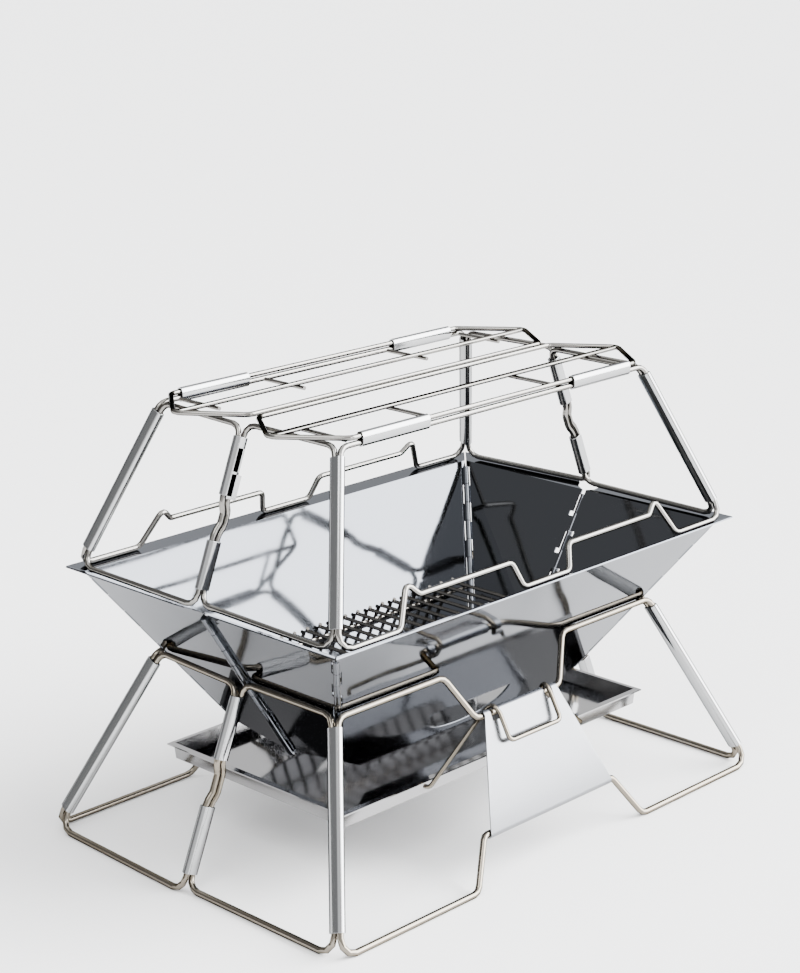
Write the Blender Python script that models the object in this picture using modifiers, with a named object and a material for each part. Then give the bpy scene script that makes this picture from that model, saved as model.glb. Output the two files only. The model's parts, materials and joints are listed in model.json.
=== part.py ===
"""Folding fire pit: wire stand with ash tray, six-panel hinged bowl, and wire pot stand.

Metres, +Z up. The long sides face -Y (front) and +Y (back), the folding ends face
-X (left) and +X (right). The origin lies on the ground under the middle of the pit.
Each of the three units is a ring of six: two long sides and two ends of two halves,
which hinge at the four corners and at the middle of each end.
"""

import math

import bmesh
import bpy
from mathutils import Matrix, Vector

GAP = 0.0003
ENDS = {"left": -1, "right": 1}
SIDES = {"front": -1, "back": 1}

# Corner hinge lines, as (x, y, z) of the +X +Y corner, low point then high point.
STAND_LOW = Vector((0.2318, 0.1518, 0.0025))
STAND_HIGH = Vector((0.1730, 0.0917, 0.1440))
BOWL_LOW = Vector((0.1284, 0.0516, 0.0834))
BOWL_HIGH = Vector((0.2075, 0.1330, 0.2085))
POT_LOW = Vector((0.2113, 0.1339, 0.2126))
POT_HIGH = Vector((0.1629, 0.0890, 0.3354))

# Stand
STAND_WIRE = 0.005
STAND_BEND = 0.010
DIP_TOP = 0.0665
DIP_BOTTOM = 0.0467
DIP_Z = 0.1100
RISE_FOOT = 0.0940
RISE_TOP = 0.0725
RISE_Z = 0.0355
KINK_DEPTH = 0.0035
KINK_BEND = 0.009
KINK_SLOPE = 0.006
STAND_KINK_Z = (0.066, 0.082)
STAND_CORNER_SLEEVE_Z = (0.018, 0.128)
STAND_MIDDLE_SLEEVE_Z = ((0.016, 0.058), (0.092, 0.126))
SLEEVE_WALL = 0.0008
PLATE_SHEET = 0.001
PLATE_HALF_TOP = 0.0405
NOTCH_X = 0.0301
NOTCH_WIDTH = 0.0086
NOTCH_DEPTH = 0.007
NOTCH_MARGIN = 0.006
PLATE_FOOT_INSET = 0.004

# Ash tray and its hangers
TRAY_HALF_X = 0.1675
TRAY_HALF_Y = 0.0955
TRAY_Z = 0.0560
TRAY_DEPTH = 0.0120
TRAY_LIP = 0.0040
TRAY_SHEET = 0.0010
HANGER_WIRE = 0.0035
HANGER_HOOK_X = 0.0860
HANGER_BEND = 0.004
HANGER_LOOP_REACH = 0.0105
HANGER_LOOP_DROP = 0.0180
HANGER_PLATE_GAP = 0.0012
HANGER_BAR_INSET = 0.0016
HOOK_OUT = 0.0045
TRAY_WALL_LEAN = 0.0010
TRAY_SIDE_INSET = 0.003

# Bowl
SHEET = 0.0010
BARREL_OUT = 0.0023
BARREL_IN = 0.0014
BARREL_SIDES = 7
BARREL_OFFSET = 0.00185
BARREL_CUT = 0.0027
BARREL_GAP = 0.0004
BARREL_TAB = 0.0007
TAB_INSET = 0.0002
MIDDLE_TAB = 0.00035
OPEN_BARREL_GAP = 0.0012
OPEN_BARREL_CUT = 0.0060
OPEN_MIDDLE_EDGE = 0.0019
PIN_RADIUS = 0.0009
KNUCKLES = 9
CORNER_BARREL_Z = (0.0880, 0.2035)
MIDDLE_BARREL_Z = (0.0770, 0.2035)
FLANGE = 0.0106
FLANGE_RISE = math.radians(22.0)
FLANGE_RELIEF = 0.0085
BOWL_BOTTOM_Z = 0.0690
BOTTOM_CHAMFER_X = 0.0950
VENT_HALF_X = 0.0440
VENT_DEPTH = 0.0270
VENT_TOP_Z = 0.1010

# Charcoal grate
GRATE_WIRE = 0.0030
GRATE_Z = 0.1280
GRATE_PITCH = 0.0140
GRATE_BARS = 20
GRATE_RUNNERS = (-0.066, -0.022, 0.022, 0.066)

# Pot stand and its rack
POT_WIRE = 0.0045
POT_BEND = 0.009
POT_END_LIFT = 0.0014
POT_KINK_Z = (0.266, 0.276)
POT_CORNER_SLEEVE_Z = (0.226, 0.322)
POT_MIDDLE_SLEEVE_Z = ((0.2245, 0.2562), (0.2868, 0.3215))
BUMP_OUTER_FOOT = 0.0590
BUMP_PEAK = (0.0750, 0.0280)
BUMP_RUN = (0.0850, 0.0185)
BUMP_RUN_END = 0.1800
BUMP_INNER_FOOT = 0.1860
RACK_WIRE = 0.0040
RACK_OUTER_HALF = 0.1530
RACK_PEAK = 0.1880
RACK_INNER_HALF = 0.1560
RACK_INNER_Y = 0.0045
RACK_CROSS_X = (-0.1500, -0.0660, 0.0660, 0.1500)
RACK_SLEEVE_X = (0.0780, 0.1440)
RACK_BEND = 0.008
RACK_SPINE_INSET = 0.0030
CROSS_INNER = 0.006
CROSS_OUTER = 0.0075


def clear_scene():
    for item in list(bpy.data.objects):
        bpy.data.objects.remove(item, do_unlink=True)


def new_collection(name, hidden=False):
    made = bpy.data.collections.new(name)
    bpy.context.scene.collection.children.link(made)
    made.hide_render = hidden
    return made


def steel(name, shade, roughness):
    material = bpy.data.materials.new(name)
    material.use_nodes = True
    shader = material.node_tree.nodes["Principled BSDF"]
    shader.inputs["Base Color"].default_value = (shade[0], shade[1], shade[2], 1.0)
    shader.inputs["Metallic"].default_value = 1.0
    shader.inputs["Roughness"].default_value = roughness
    return material


FINISHES = {
    "wire": ((0.74, 0.72, 0.69), 0.12),
    "sheet": ((0.72, 0.73, 0.75), 0.06),
    "satin": ((0.78, 0.79, 0.81), 0.28),
}


def place(name, data, finish):
    """Puts an object in the model's collection, with its own material."""
    made = bpy.data.objects.new(name, data)
    MODEL.objects.link(made)
    shade, roughness = FINISHES[finish]
    data.materials.append(steel(name, shade, roughness))
    return made


def as_cutter(item):
    for holder in list(item.users_collection):
        holder.objects.unlink(item)
    CUTTERS.objects.link(item)
    item.hide_render = True
    item.display_type = "WIRE"
    return item


def rounded(corners, closed):
    """Points along straight runs with an arc at each corner; a corner is (point, radius)."""
    path = []
    count = len(corners)
    for index, (corner, radius) in enumerate(corners):
        if not closed and index in (0, count - 1):
            path.append(corner)
            continue
        before = (corners[index - 1][0] - corner).normalized()
        after = (corners[(index + 1) % count][0] - corner).normalized()
        turn = math.pi - before.angle(after)
        reach = radius * math.tan(turn / 2)
        centre_way = (before + after).normalized()
        centre = corner + centre_way * (radius / math.cos(turn / 2))
        start = corner + before * reach - centre
        axis = before.cross(after)
        steps = 3 if turn > 1.2 else 2 if turn > 0.5 else 1
        for step in range(steps + 1):
            spin = Matrix.Rotation(-turn * step / steps, 3, axis)
            path.append(centre + spin @ start)
    return path


def wire(name, path, diameter, closed=False, finish="wire", resolution=2):
    curve = bpy.data.curves.new(name, "CURVE")
    curve.dimensions = "3D"
    curve.bevel_depth = diameter / 2
    curve.bevel_resolution = resolution
    curve.use_fill_caps = True
    spline = curve.splines.new("POLY")
    spline.points.add(len(path) - 1)
    for point, spot in zip(spline.points, path):
        point.co = (*spot, 1.0)
    spline.use_cyclic_u = closed
    return place(name, curve, finish)


def meshed(item):
    """Swaps a curve object for the mesh that it makes, with its caps welded on."""
    graph = bpy.context.evaluated_depsgraph_get()
    mesh = bpy.data.meshes.new_from_object(item.evaluated_get(graph))
    work = bmesh.new()
    work.from_mesh(mesh)
    bmesh.ops.remove_doubles(work, verts=work.verts, dist=1e-6)
    bmesh.ops.recalc_face_normals(work, faces=work.faces)
    work.to_mesh(mesh)
    work.free()
    name = item.name
    holder = item.users_collection[0]
    made = bpy.data.objects.new(name, mesh)
    made.matrix_world = item.matrix_world
    holder.objects.link(made)
    bpy.data.objects.remove(item, do_unlink=True)
    made.name = name
    return made


def fuse(base, members):
    """Joins members to the base by one Boolean union, as a weld does."""
    group = bpy.data.collections.new(base.name + "_welds")
    CUTTERS.children.link(group)
    for member in members:
        as_cutter(member)
        group.objects.link(member)
    weld = base.modifiers.new("weld", "BOOLEAN")
    weld.operation = "UNION"
    weld.operand_type = "COLLECTION"
    weld.collection = group
    weld.use_self = len(members) > 1
    return base


def cut(base, cutter):
    as_cutter(cutter)
    carve = base.modifiers.new("cut_" + cutter.name, "BOOLEAN")
    carve.operation = "DIFFERENCE"
    carve.object = cutter


def line_at(low, high, z):
    """The (x, y) of a corner hinge line at height z."""
    share = (z - low.z) / (high.z - low.z)
    return low.x + (high.x - low.x) * share, low.y + (high.y - low.y) * share


def lean(low, high, axis):
    return math.atan2(low[axis] - high[axis], high.z - low.z)


def long_point(low, high, side, pitch, x, z):
    """A point of a long frame, which lies one wire pitch outside the corner hinge lines."""
    y = line_at(low, high, z)[1] + pitch / math.cos(lean(low, high, 1))
    return Vector((x, side * y, z))


def end_point(low, high, end, out, y, z):
    """A point in an end's plane, moved outward by out."""
    x = line_at(low, high, z)[0] + out / math.cos(lean(low, high, 0))
    return Vector((end * x, y, z))


def half_end_loop(low, high, end, side, pitch, bend, kink_z, lift):
    """One half of a folding end: corner leg, rails, and a middle leg with a locking kink."""
    out = pitch if side > 0 else 0.0

    def middle(z, inset=0.0):
        return end_point(low, high, end, out - inset, 0.0, z)

    top, bottom = high.z, low.z
    tilt = lean(low, high, 0)
    rise = out * math.sin(tilt)
    nest = out * math.tan(math.atan2(KINK_DEPTH, KINK_SLOPE / math.cos(tilt)) / 2) * math.cos(tilt)
    kink_low, kink_high = kink_z[0] + rise + nest, kink_z[1] + rise - nest
    tight, wide = KINK_BEND - out, KINK_BEND + out
    return [(end_point(low, high, end, 0.0, side * high.y, top), bend),
            (end_point(low, high, end, 0.0, side * low.y, bottom), bend),
            (middle(bottom + lift), bend),
            (middle(kink_low - KINK_SLOPE), wide),
            (middle(kink_low, KINK_DEPTH), tight),
            (middle(kink_high, KINK_DEPTH), tight),
            (middle(kink_high + KINK_SLOPE), wide),
            (middle(top), bend)]


def stadium(radius, spacing, steps, open_end):
    """Outline round two wires in a row: the first at 0, the second at +spacing along X."""
    points = []
    for step in range(steps + 1):
        angle = math.pi / 2 + math.pi * step / steps
        points.append((radius * math.cos(angle), radius * math.sin(angle)))
    if open_end:
        return points
    for step in range(steps + 1):
        angle = -math.pi / 2 + math.pi * step / steps
        points.append((spacing + radius * math.cos(angle), radius * math.sin(angle)))
    return points


def profile_bar(name, loops, length, finish):
    """A 2D outline, with any holes, extruded along local Z."""
    curve = bpy.data.curves.new(name, "CURVE")
    curve.dimensions = "2D"
    curve.fill_mode = "BOTH"
    curve.extrude = length / 2
    for loop in loops:
        spline = curve.splines.new("POLY")
        spline.points.add(len(loop) - 1)
        for point, (x, y) in zip(spline.points, loop):
            point.co = (x, y, 0.0, 1.0)
        spline.use_cyclic_u = True
    return place(name, curve, finish)


def sleeve(name, start, finish_point, toward, spacing, wire_size, open_end=False):
    """A flattened tube round two wires: one from start to finish_point, one beside it."""
    along = (finish_point - start).normalized()
    across = (toward - along * toward.dot(along)).normalized()
    up = along.cross(across)
    inner = wire_size / 2 + GAP + (0.0006 if open_end else 0.0)
    outer = inner + SLEEVE_WALL
    if open_end:
        reach = spacing + 0.0005
        outside = stadium(outer, spacing, 6, True)
        inside = stadium(inner, spacing, 6, True)
        loop = [(reach, outer)] + outside + [(reach, -outer), (reach, -inner)]
        loop += list(reversed(inside)) + [(reach, inner)]
        loops = [loop]
    else:
        loops = [stadium(outer, spacing, 4, False), stadium(inner, spacing, 4, False)]
    made = profile_bar(name, loops, (finish_point - start).length, "sheet")
    turn = Matrix((across, up, along)).transposed().to_4x4()
    made.matrix_world = Matrix.Translation((start + finish_point) / 2) @ turn
    return meshed(made)


def leg_sleeves(unit, low, high, pitch, wire_size, corner_z, middle_z):
    """The corner sleeves, and the two sleeves on each end's middle legs."""
    made = {}
    for end_name, end in ENDS.items():
        for side_name, side in SIDES.items():
            spots = []
            for z in corner_z:
                x, y = line_at(low, high, z)
                spots.append(Vector((end * x, side * y, z)))
            offset = Vector((0.0, side * pitch / math.cos(lean(low, high, 1)), 0.0))
            along = (spots[1] - spots[0]).normalized()
            spacing = (offset - along * offset.dot(along)).length
            name = f"{unit}_{side_name}_{end_name}_corner_sleeve"
            made[name] = sleeve(name, spots[0], spots[1], offset, spacing, wire_size)
        for level, (z_low, z_high) in zip(("lower", "upper"), middle_z):
            spots = [end_point(low, high, end, 0.0, 0.0, z) for z in (z_low, z_high)]
            outward = Vector((end, 0.0, 0.0))
            name = f"{unit}_{end_name}_{level}_middle_sleeve"
            made[name] = sleeve(name, spots[0], spots[1], outward, pitch, wire_size, end > 0)
    return made


def stand_long_frame(side_name):
    """Long side of the stand: the top rail dips and the foot rail rises to hold the plate."""
    side = SIDES[side_name]
    pitch = STAND_WIRE + GAP

    def spot(x, z):
        return long_point(STAND_LOW, STAND_HIGH, side, pitch, x, z)

    top, foot = STAND_HIGH.z, STAND_LOW.z
    half = [(spot(DIP_BOTTOM, DIP_Z), 0.008), (spot(DIP_TOP, top), 0.008),
            (spot(STAND_HIGH.x, top), STAND_BEND), (spot(STAND_LOW.x, foot), STAND_BEND),
            (spot(RISE_FOOT, foot), 0.008), (spot(RISE_TOP, RISE_Z), 0.006)]
    mirrored = [(Vector((-p.x, p.y, p.z)), r) for p, r in reversed(half)]
    path = rounded(half + mirrored, closed=True)
    return wire(f"stand_{side_name}_frame", path, STAND_WIRE, closed=True)


def pot_long_frame(side_name):
    """Long side of the pot stand: its foot rail steps up twice to catch the bowl's rim."""
    side = SIDES[side_name]
    pitch = POT_WIRE + GAP
    foot_x = POT_LOW.x

    def spot(x, z):
        return long_point(POT_LOW, POT_HIGH, side, pitch, x, z)

    foot = POT_LOW.z
    half = [(spot(POT_HIGH.x, POT_HIGH.z), POT_BEND), (spot(foot_x, foot), POT_BEND),
            (spot(foot_x - BUMP_OUTER_FOOT, foot), 0.006),
            (spot(foot_x - BUMP_PEAK[0], foot + BUMP_PEAK[1]), 0.004),
            (spot(foot_x - BUMP_RUN[0], foot + BUMP_RUN[1]), 0.004),
            (spot(foot_x - BUMP_RUN_END, foot + BUMP_RUN[1]), 0.005),
            (spot(foot_x - BUMP_INNER_FOOT, foot), 0.005)]
    mirrored = [(Vector((-p.x, p.y, p.z)), r) for p, r in reversed(half)]
    path = rounded(half + mirrored, closed=True)
    return wire(f"pot_{side_name}_frame", path, POT_WIRE, closed=True)


def end_frames(unit, low, high, wire_size, bend, kink_z, lift):
    made = {}
    for end_name, end in ENDS.items():
        for side_name, side in SIDES.items():
            pitch = wire_size + GAP
            loop = half_end_loop(low, high, end, side, pitch, bend, kink_z, lift)
            name = f"{unit}_{side_name}_{end_name}_end_frame"
            made[name] = wire(name, rounded(loop, closed=True), wire_size, closed=True)
    return made


def plate_profile(side):
    """Section of a side plate: it rolls over the dipped rail, drops, and rolls under the rise."""
    pitch = STAND_WIRE + GAP
    upper = long_point(STAND_LOW, STAND_HIGH, side, pitch, 0.0, DIP_Z)
    lower = long_point(STAND_LOW, STAND_HIGH, side, pitch, 0.0, RISE_Z)
    down = (lower - upper).normalized()
    out = Vector((0.0, side * -down.z, side * down.y))
    radius = STAND_WIRE / 2 + GAP + PLATE_SHEET / 2
    points = []
    for step in range(9):
        angle = math.radians(150 - 150 * step / 8)
        points.append(upper + out * (radius * math.cos(angle)) - down * (radius * math.sin(angle)))
    for step in range(9):
        angle = math.radians(200 * step / 8)
        points.append(lower + out * (radius * math.cos(angle)) + down * (radius * math.sin(angle)))
    return points


def side_plate(side_name):
    """Tapered plate hung between the dipped rail and the raised foot rail."""
    profile = plate_profile(SIDES[side_name])
    top, low = profile[8], profile[9]
    mesh = bpy.data.meshes.new(f"{side_name}_plate")
    work = bmesh.new()
    rows = []
    for point in profile:
        share = min(max((top.z - point.z) / (top.z - low.z), 0.0), 1.0)
        half = PLATE_HALF_TOP + (RISE_TOP - PLATE_FOOT_INSET - PLATE_HALF_TOP) * share
        rows.append([work.verts.new((x, point.y, point.z)) for x in (-half, half)])
    for above, below in zip(rows, rows[1:]):
        work.faces.new((above[0], above[1], below[1], below[0]))
    bmesh.ops.recalc_face_normals(work, faces=work.faces)
    work.to_mesh(mesh)
    work.free()
    plate = place(f"{side_name}_plate", mesh, "satin")
    thick = plate.modifiers.new("sheet", "SOLIDIFY")
    thick.thickness = PLATE_SHEET
    thick.offset = 0.0
    thick.use_even_offset = True
    for x in (-NOTCH_X, NOTCH_X):
        bpy.ops.mesh.primitive_cube_add(size=1.0)
        block = bpy.context.object
        block.name = f"{side_name}_notch_{'left' if x < 0 else 'right'}"
        block.location = (x, top.y, DIP_Z + NOTCH_MARGIN - NOTCH_DEPTH / 2)
        block.scale = (NOTCH_WIDTH, 0.02, NOTCH_DEPTH + NOTCH_MARGIN)
        bpy.context.view_layer.update()
        cut(plate, block)
    return plate


def tray_hanger(side_name):
    """Wire that loops twice over the dipped rail and hooks under the tray's rim."""
    side = SIDES[side_name]
    rail = long_point(STAND_LOW, STAND_HIGH, side, STAND_WIRE + GAP, 0.0, DIP_Z)
    reach = STAND_WIRE / 2 + HANGER_WIRE / 2 + 2 * GAP
    lip_z = TRAY_Z + TRAY_DEPTH - TRAY_SHEET - HANGER_WIRE / 2 - GAP
    tray_y = TRAY_HALF_Y + TRAY_LIP / 2
    hook_y = tray_y + HOOK_OUT
    front_y = abs(rail.y) + reach + PLATE_SHEET + HANGER_PLATE_GAP
    inner_y = abs(rail.y) - reach - 2 * GAP
    bar_x = NOTCH_X - HANGER_BAR_INSET

    def spot(x, y, z):
        return Vector((x, side * y, z))

    half = [(spot(bar_x, front_y + HANGER_LOOP_REACH, rail.z - HANGER_LOOP_DROP), HANGER_BEND),
            (spot(bar_x, front_y, rail.z + 0.0010), HANGER_BEND),
            (spot(bar_x + 0.0010, abs(rail.y) + 0.0005, rail.z + reach + 0.0022), HANGER_BEND),
            (spot(bar_x + 0.0030, inner_y, rail.z + 0.0005), HANGER_BEND),
            (spot(HANGER_HOOK_X, hook_y, lip_z), 0.003),
            (spot(HANGER_HOOK_X, tray_y - 0.0005, lip_z), 0.0)]
    mirrored = [(Vector((-p.x, p.y, p.z)), r) for p, r in reversed(half)]
    path = rounded(mirrored + half, closed=False)
    return wire(f"{side_name}_tray_hanger", path, HANGER_WIRE)


def ash_tray():
    """Folded sheet tray with leaning walls and an outward lip."""
    mesh = bpy.data.meshes.new("ash_tray")
    work = bmesh.new()
    floor_z = TRAY_Z + TRAY_SHEET / 2
    lip_z = TRAY_Z + TRAY_DEPTH - TRAY_SHEET / 2
    rings = []
    for inset, z in ((TRAY_LIP + TRAY_WALL_LEAN, floor_z), (TRAY_LIP, lip_z), (0.0, lip_z)):
        half_x, half_y = TRAY_HALF_X - inset, TRAY_HALF_Y + TRAY_LIP - TRAY_SIDE_INSET - inset
        ring = [work.verts.new((x * half_x, y * half_y, z))
                for x, y in ((-1, -1), (1, -1), (1, 1), (-1, 1))]
        rings.append(ring)
    work.faces.new(rings[0])
    for inner, outer in zip(rings, rings[1:]):
        for index in range(4):
            follow = (index + 1) % 4
            work.faces.new((inner[index], inner[follow], outer[follow], outer[index]))
    bmesh.ops.recalc_face_normals(work, faces=work.faces)
    work.to_mesh(mesh)
    work.free()
    tray = place("ash_tray", mesh, "sheet")
    thick = tray.modifiers.new("sheet", "SOLIDIFY")
    thick.thickness = TRAY_SHEET
    thick.offset = 0.0
    thick.use_even_offset = True
    return tray


def ring_between(work, start, finish_point, facing):
    """Adds one knuckle: a short tube from start to finish_point, with a flat toward facing."""
    along = (finish_point - start).normalized()
    rows = []
    for side in range(BARREL_SIDES):
        turn = Matrix.Rotation(math.tau * (side + 0.5) / BARREL_SIDES, 3, along)
        ray = turn @ facing
        rows.append([work.verts.new(start + ray * BARREL_OUT),
                     work.verts.new(finish_point + ray * BARREL_OUT),
                     work.verts.new(finish_point + ray * BARREL_IN),
                     work.verts.new(start + ray * BARREL_IN)])
    for side in range(BARREL_SIDES):
        here, there = rows[side], rows[(side + 1) % BARREL_SIDES]
        for index in range(4):
            follow = (index + 1) % 4
            work.faces.new((here[index], here[follow], there[follow], there[index]))


def barrel_spans(low_point, high_point, owned, gap):
    """Start and end of each knuckle that a panel owns on one hinge line."""
    length = (high_point - low_point).length
    spans = []
    for index in range(KNUCKLES):
        if index % 2 == owned:
            start = index / KNUCKLES + gap / length
            end = (index + 1) / KNUCKLES - gap / length
            spans.append((start, end))
    return spans


def barrels(name, hinges, facing):
    """The rolled knuckles of one panel; hinges lists (low point, high point, owned, gap)."""
    mesh = bpy.data.meshes.new(name)
    work = bmesh.new()
    for low_point, high_point, owned, gap in hinges:
        along = (high_point - low_point).normalized()
        flat = (facing - along * facing.dot(along)).normalized()
        for start, end in barrel_spans(low_point, high_point, owned, gap):
            ring_between(work, low_point.lerp(high_point, start),
                         low_point.lerp(high_point, end), flat)
    bmesh.ops.recalc_face_normals(work, faces=work.faces)
    work.to_mesh(mesh)
    work.free()
    made = bpy.data.objects.new(name, mesh)
    MODEL.objects.link(made)
    return made


def hinge_edge(low_2d, high_2d, inward, owned, gap, depth, reach):
    """Plan points of a sheet's edge along a hinge, with a tab at each owned knuckle."""
    along = (high_2d - low_2d)
    length = along.length
    along = along / length
    points = []
    for index in range(KNUCKLES):
        if index % 2 != owned:
            continue
        start = low_2d + along * (length * index / KNUCKLES + gap + TAB_INSET)
        end = low_2d + along * (length * (index + 1) / KNUCKLES - gap - TAB_INSET)
        points += [start + inward * depth, start + inward * reach,
                   end + inward * reach, end + inward * depth]
    return points


def side_axes(low, high, axis, sign):
    """Along, up-slope and outward directions of a bowl side; axis 1 is a long side."""
    rise = Vector((0.0, 0.0, high.z - low.z))
    rise[axis] = sign * (high[axis] - low[axis])
    up = rise.normalized()
    along = Vector((1.0, 0.0, 0.0)) if axis == 1 else Vector((0.0, 1.0, 0.0))
    out = along.cross(up)
    if out[axis] * sign < 0:
        out = -out
    return along, up, out


def slope_height(low, high, axis, z):
    """Distance up the slope of a bowl side from the height of low to the height z."""
    run = high[axis] - low[axis]
    return (z - low.z) * math.hypot(run, high.z - low.z) / (high.z - low.z)


def sheet_panel(name, outline, fold, flange, origin, axes):
    """A flat sheet from plan points, with a flange from its fold edge; both in one Solidify."""
    along, up, out = axes
    mesh = bpy.data.meshes.new(name)
    work = bmesh.new()

    def solid_point(point):
        return origin + along * point.x + up * point.y + out * BARREL_OFFSET

    wall = [work.verts.new(solid_point(point)) for point in outline]
    work.faces.new(wall)
    level = Vector((out.x, out.y, 0.0)).normalized()
    flange_way = level * math.cos(FLANGE_RISE) + Vector((0.0, 0.0, math.sin(FLANGE_RISE)))
    first, last = wall[fold[0]], wall[fold[1]]
    tips = []
    for s, reach in flange:
        base = origin + along * s + up * outline[fold[0]].y + out * BARREL_OFFSET
        tips.append(work.verts.new(base + flange_way * reach))
    work.faces.new([last, first] + tips)
    bmesh.ops.recalc_face_normals(work, faces=work.faces)
    work.to_mesh(mesh)
    work.free()
    panel = place(name, mesh, "sheet")
    thick = panel.modifiers.new("sheet", "SOLIDIFY")
    thick.thickness = SHEET
    thick.offset = 0.0
    thick.use_even_offset = True
    return panel


def corner_line(end, side):
    spots = []
    for z in CORNER_BARREL_Z:
        x, y = line_at(BOWL_LOW, BOWL_HIGH, z)
        spots.append(Vector((end * x, side * y, z)))
    return spots


def middle_line(end):
    """The middle hinge's line, outside the end's sheet by one barrel offset."""
    out = side_axes(BOWL_LOW, BOWL_HIGH, 0, end)[2]
    spots = []
    for z in MIDDLE_BARREL_Z:
        x = line_at(BOWL_LOW, BOWL_HIGH, z)[0]
        spots.append(Vector((end * x, 0.0, z)) + out * (2 * BARREL_OFFSET))
    return spots


def long_panel(side_name):
    """Long wall of the bowl, with a vent, chamfered bottom corners and a mitred rim flange."""
    side = SIDES[side_name]
    axes = side_axes(BOWL_LOW, BOWL_HIGH, 1, side)
    origin = Vector((0.0, side * BOWL_LOW.y, BOWL_LOW.z))

    def plan(x, z):
        return Vector((x, slope_height(BOWL_LOW, BOWL_HIGH, 1, z)))

    low_z, high_z = CORNER_BARREL_Z
    low_2d = plan(line_at(BOWL_LOW, BOWL_HIGH, low_z)[0], low_z)
    high_2d = plan(line_at(BOWL_LOW, BOWL_HIGH, high_z)[0], high_z)
    edge = (high_2d - low_2d).normalized()
    inward = Vector((-edge.y, edge.x))
    right = hinge_edge(low_2d, high_2d, inward, 0, BARREL_GAP, BARREL_CUT, -BARREL_TAB)
    rim = plan(BOWL_HIGH.x, BOWL_HIGH.z) - inward * BARREL_TAB
    rim.y = plan(0.0, BOWL_HIGH.z).y
    right = [plan(BOTTOM_CHAMFER_X, BOWL_BOTTOM_Z)] + right[1:-1] + [rim]
    left = [Vector((-p.x, p.y)) for p in reversed(right)]
    outline = right + left
    fold = (len(right) - 1, len(right))
    tip = rim.x + FLANGE * math.cos(FLANGE_RISE)
    flange = [(tip, FLANGE), (-tip, FLANGE)]
    panel = sheet_panel(f"bowl_{side_name}_panel", outline, fold, flange, origin, axes)
    hinges = [(*corner_line(end, side), 0, BARREL_GAP) for end in ENDS.values()]
    fuse(panel, [barrels(f"bowl_{side_name}_barrels", hinges, axes[2])])
    cut(panel, vent_cutter(side_name, origin, axes))
    return panel


def vent_cutter(side_name, origin, axes):
    """Cutter for the air vent: straight along the top, bowed along the bottom."""
    along, up, out = axes
    count = 14
    loop = []
    for step in range(count + 1):
        angle = math.pi * step / count
        bow = math.sin(angle) ** 0.7
        loop.append((-VENT_HALF_X * math.cos(angle), -VENT_DEPTH * bow))
    cutter = profile_bar(f"{side_name}_vent_cutter", [loop], 0.02, "sheet")
    height = slope_height(BOWL_LOW, BOWL_HIGH, 1, VENT_TOP_Z)
    normal = along.cross(up)
    turn = Matrix((along, up, normal)).transposed().to_4x4()
    centre = origin + up * height + out * BARREL_OFFSET
    cutter.matrix_world = Matrix.Translation(centre) @ turn
    return meshed(cutter)


def half_end_panel(end_name, side_name):
    """Half of a bowl end, from a corner hinge to the middle hinge."""
    end, side = ENDS[end_name], SIDES[side_name]
    axes = side_axes(BOWL_LOW, BOWL_HIGH, 0, end)
    origin = Vector((end * BOWL_LOW.x, 0.0, BOWL_LOW.z))
    open_pivot = end > 0
    middle_gap = OPEN_BARREL_GAP if open_pivot else BARREL_GAP
    middle_cut = OPEN_BARREL_CUT if open_pivot else BARREL_CUT
    middle_tab = OPEN_MIDDLE_EDGE if open_pivot else MIDDLE_TAB

    def plan(y, z):
        return Vector((y, slope_height(BOWL_LOW, BOWL_HIGH, 0, z)))

    low_z, high_z = CORNER_BARREL_Z
    low_2d = plan(side * line_at(BOWL_LOW, BOWL_HIGH, low_z)[1], low_z)
    high_2d = plan(side * line_at(BOWL_LOW, BOWL_HIGH, high_z)[1], high_z)
    edge = (high_2d - low_2d).normalized()
    inward = Vector((-edge.y, edge.x)) * side
    corner = hinge_edge(low_2d, high_2d, inward, 1, BARREL_GAP, BARREL_CUT, -BARREL_TAB)
    corner_foot = low_2d + inward * BARREL_CUT
    rim = plan(side * BOWL_HIGH.y, BOWL_HIGH.z) - inward * BARREL_TAB
    rim.y = plan(0.0, BOWL_HIGH.z).y
    mid_low, mid_high = plan(0.0, MIDDLE_BARREL_Z[0]), plan(0.0, MIDDLE_BARREL_Z[1])
    owned = 0 if side < 0 else 1
    middle = hinge_edge(mid_low, mid_high, Vector((side, 0.0)), owned, middle_gap,
                        middle_cut, 0.0)
    above_corner = high_2d + (high_2d - low_2d).normalized() * BARREL_GAP
    corner += [above_corner + inward * BARREL_CUT, above_corner - inward * BARREL_TAB]
    above_middle = Vector((0.0, mid_high.y + middle_gap))
    if owned == 0:
        middle = middle[1:-1] + [Vector((side * middle_tab, mid_high.y - middle_gap)),
                                 Vector((side * middle_tab, rim.y))]
    else:
        middle = [mid_low + Vector((side * middle_cut, 0.0))] + middle
        middle += [above_middle + Vector((side * middle_cut, 0.0)),
                   above_middle + Vector((side * middle_tab, 0.0)),
                   Vector((side * middle_tab, rim.y))]
    outline = [corner_foot] + corner + [rim] + list(reversed(middle))
    fold = (1 + len(corner), 2 + len(corner))
    reach = FLANGE * math.cos(FLANGE_RISE)
    flange = [(rim.x + side * reach, FLANGE),
              (side * (FLANGE_RELIEF + 0.0080), FLANGE),
              (side * (FLANGE_RELIEF + 0.0025), FLANGE * 0.75),
              (side * FLANGE_RELIEF, FLANGE * 0.25)]
    name = f"bowl_{side_name}_{end_name}_end_panel"
    panel = sheet_panel(name, outline, fold, flange, origin, axes)
    hinges = [(*corner_line(end, side), 1, BARREL_GAP),
              (*middle_line(end), owned, middle_gap)]
    fuse(panel, [barrels(name + "_barrels", hinges, axes[2])])
    return panel


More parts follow.
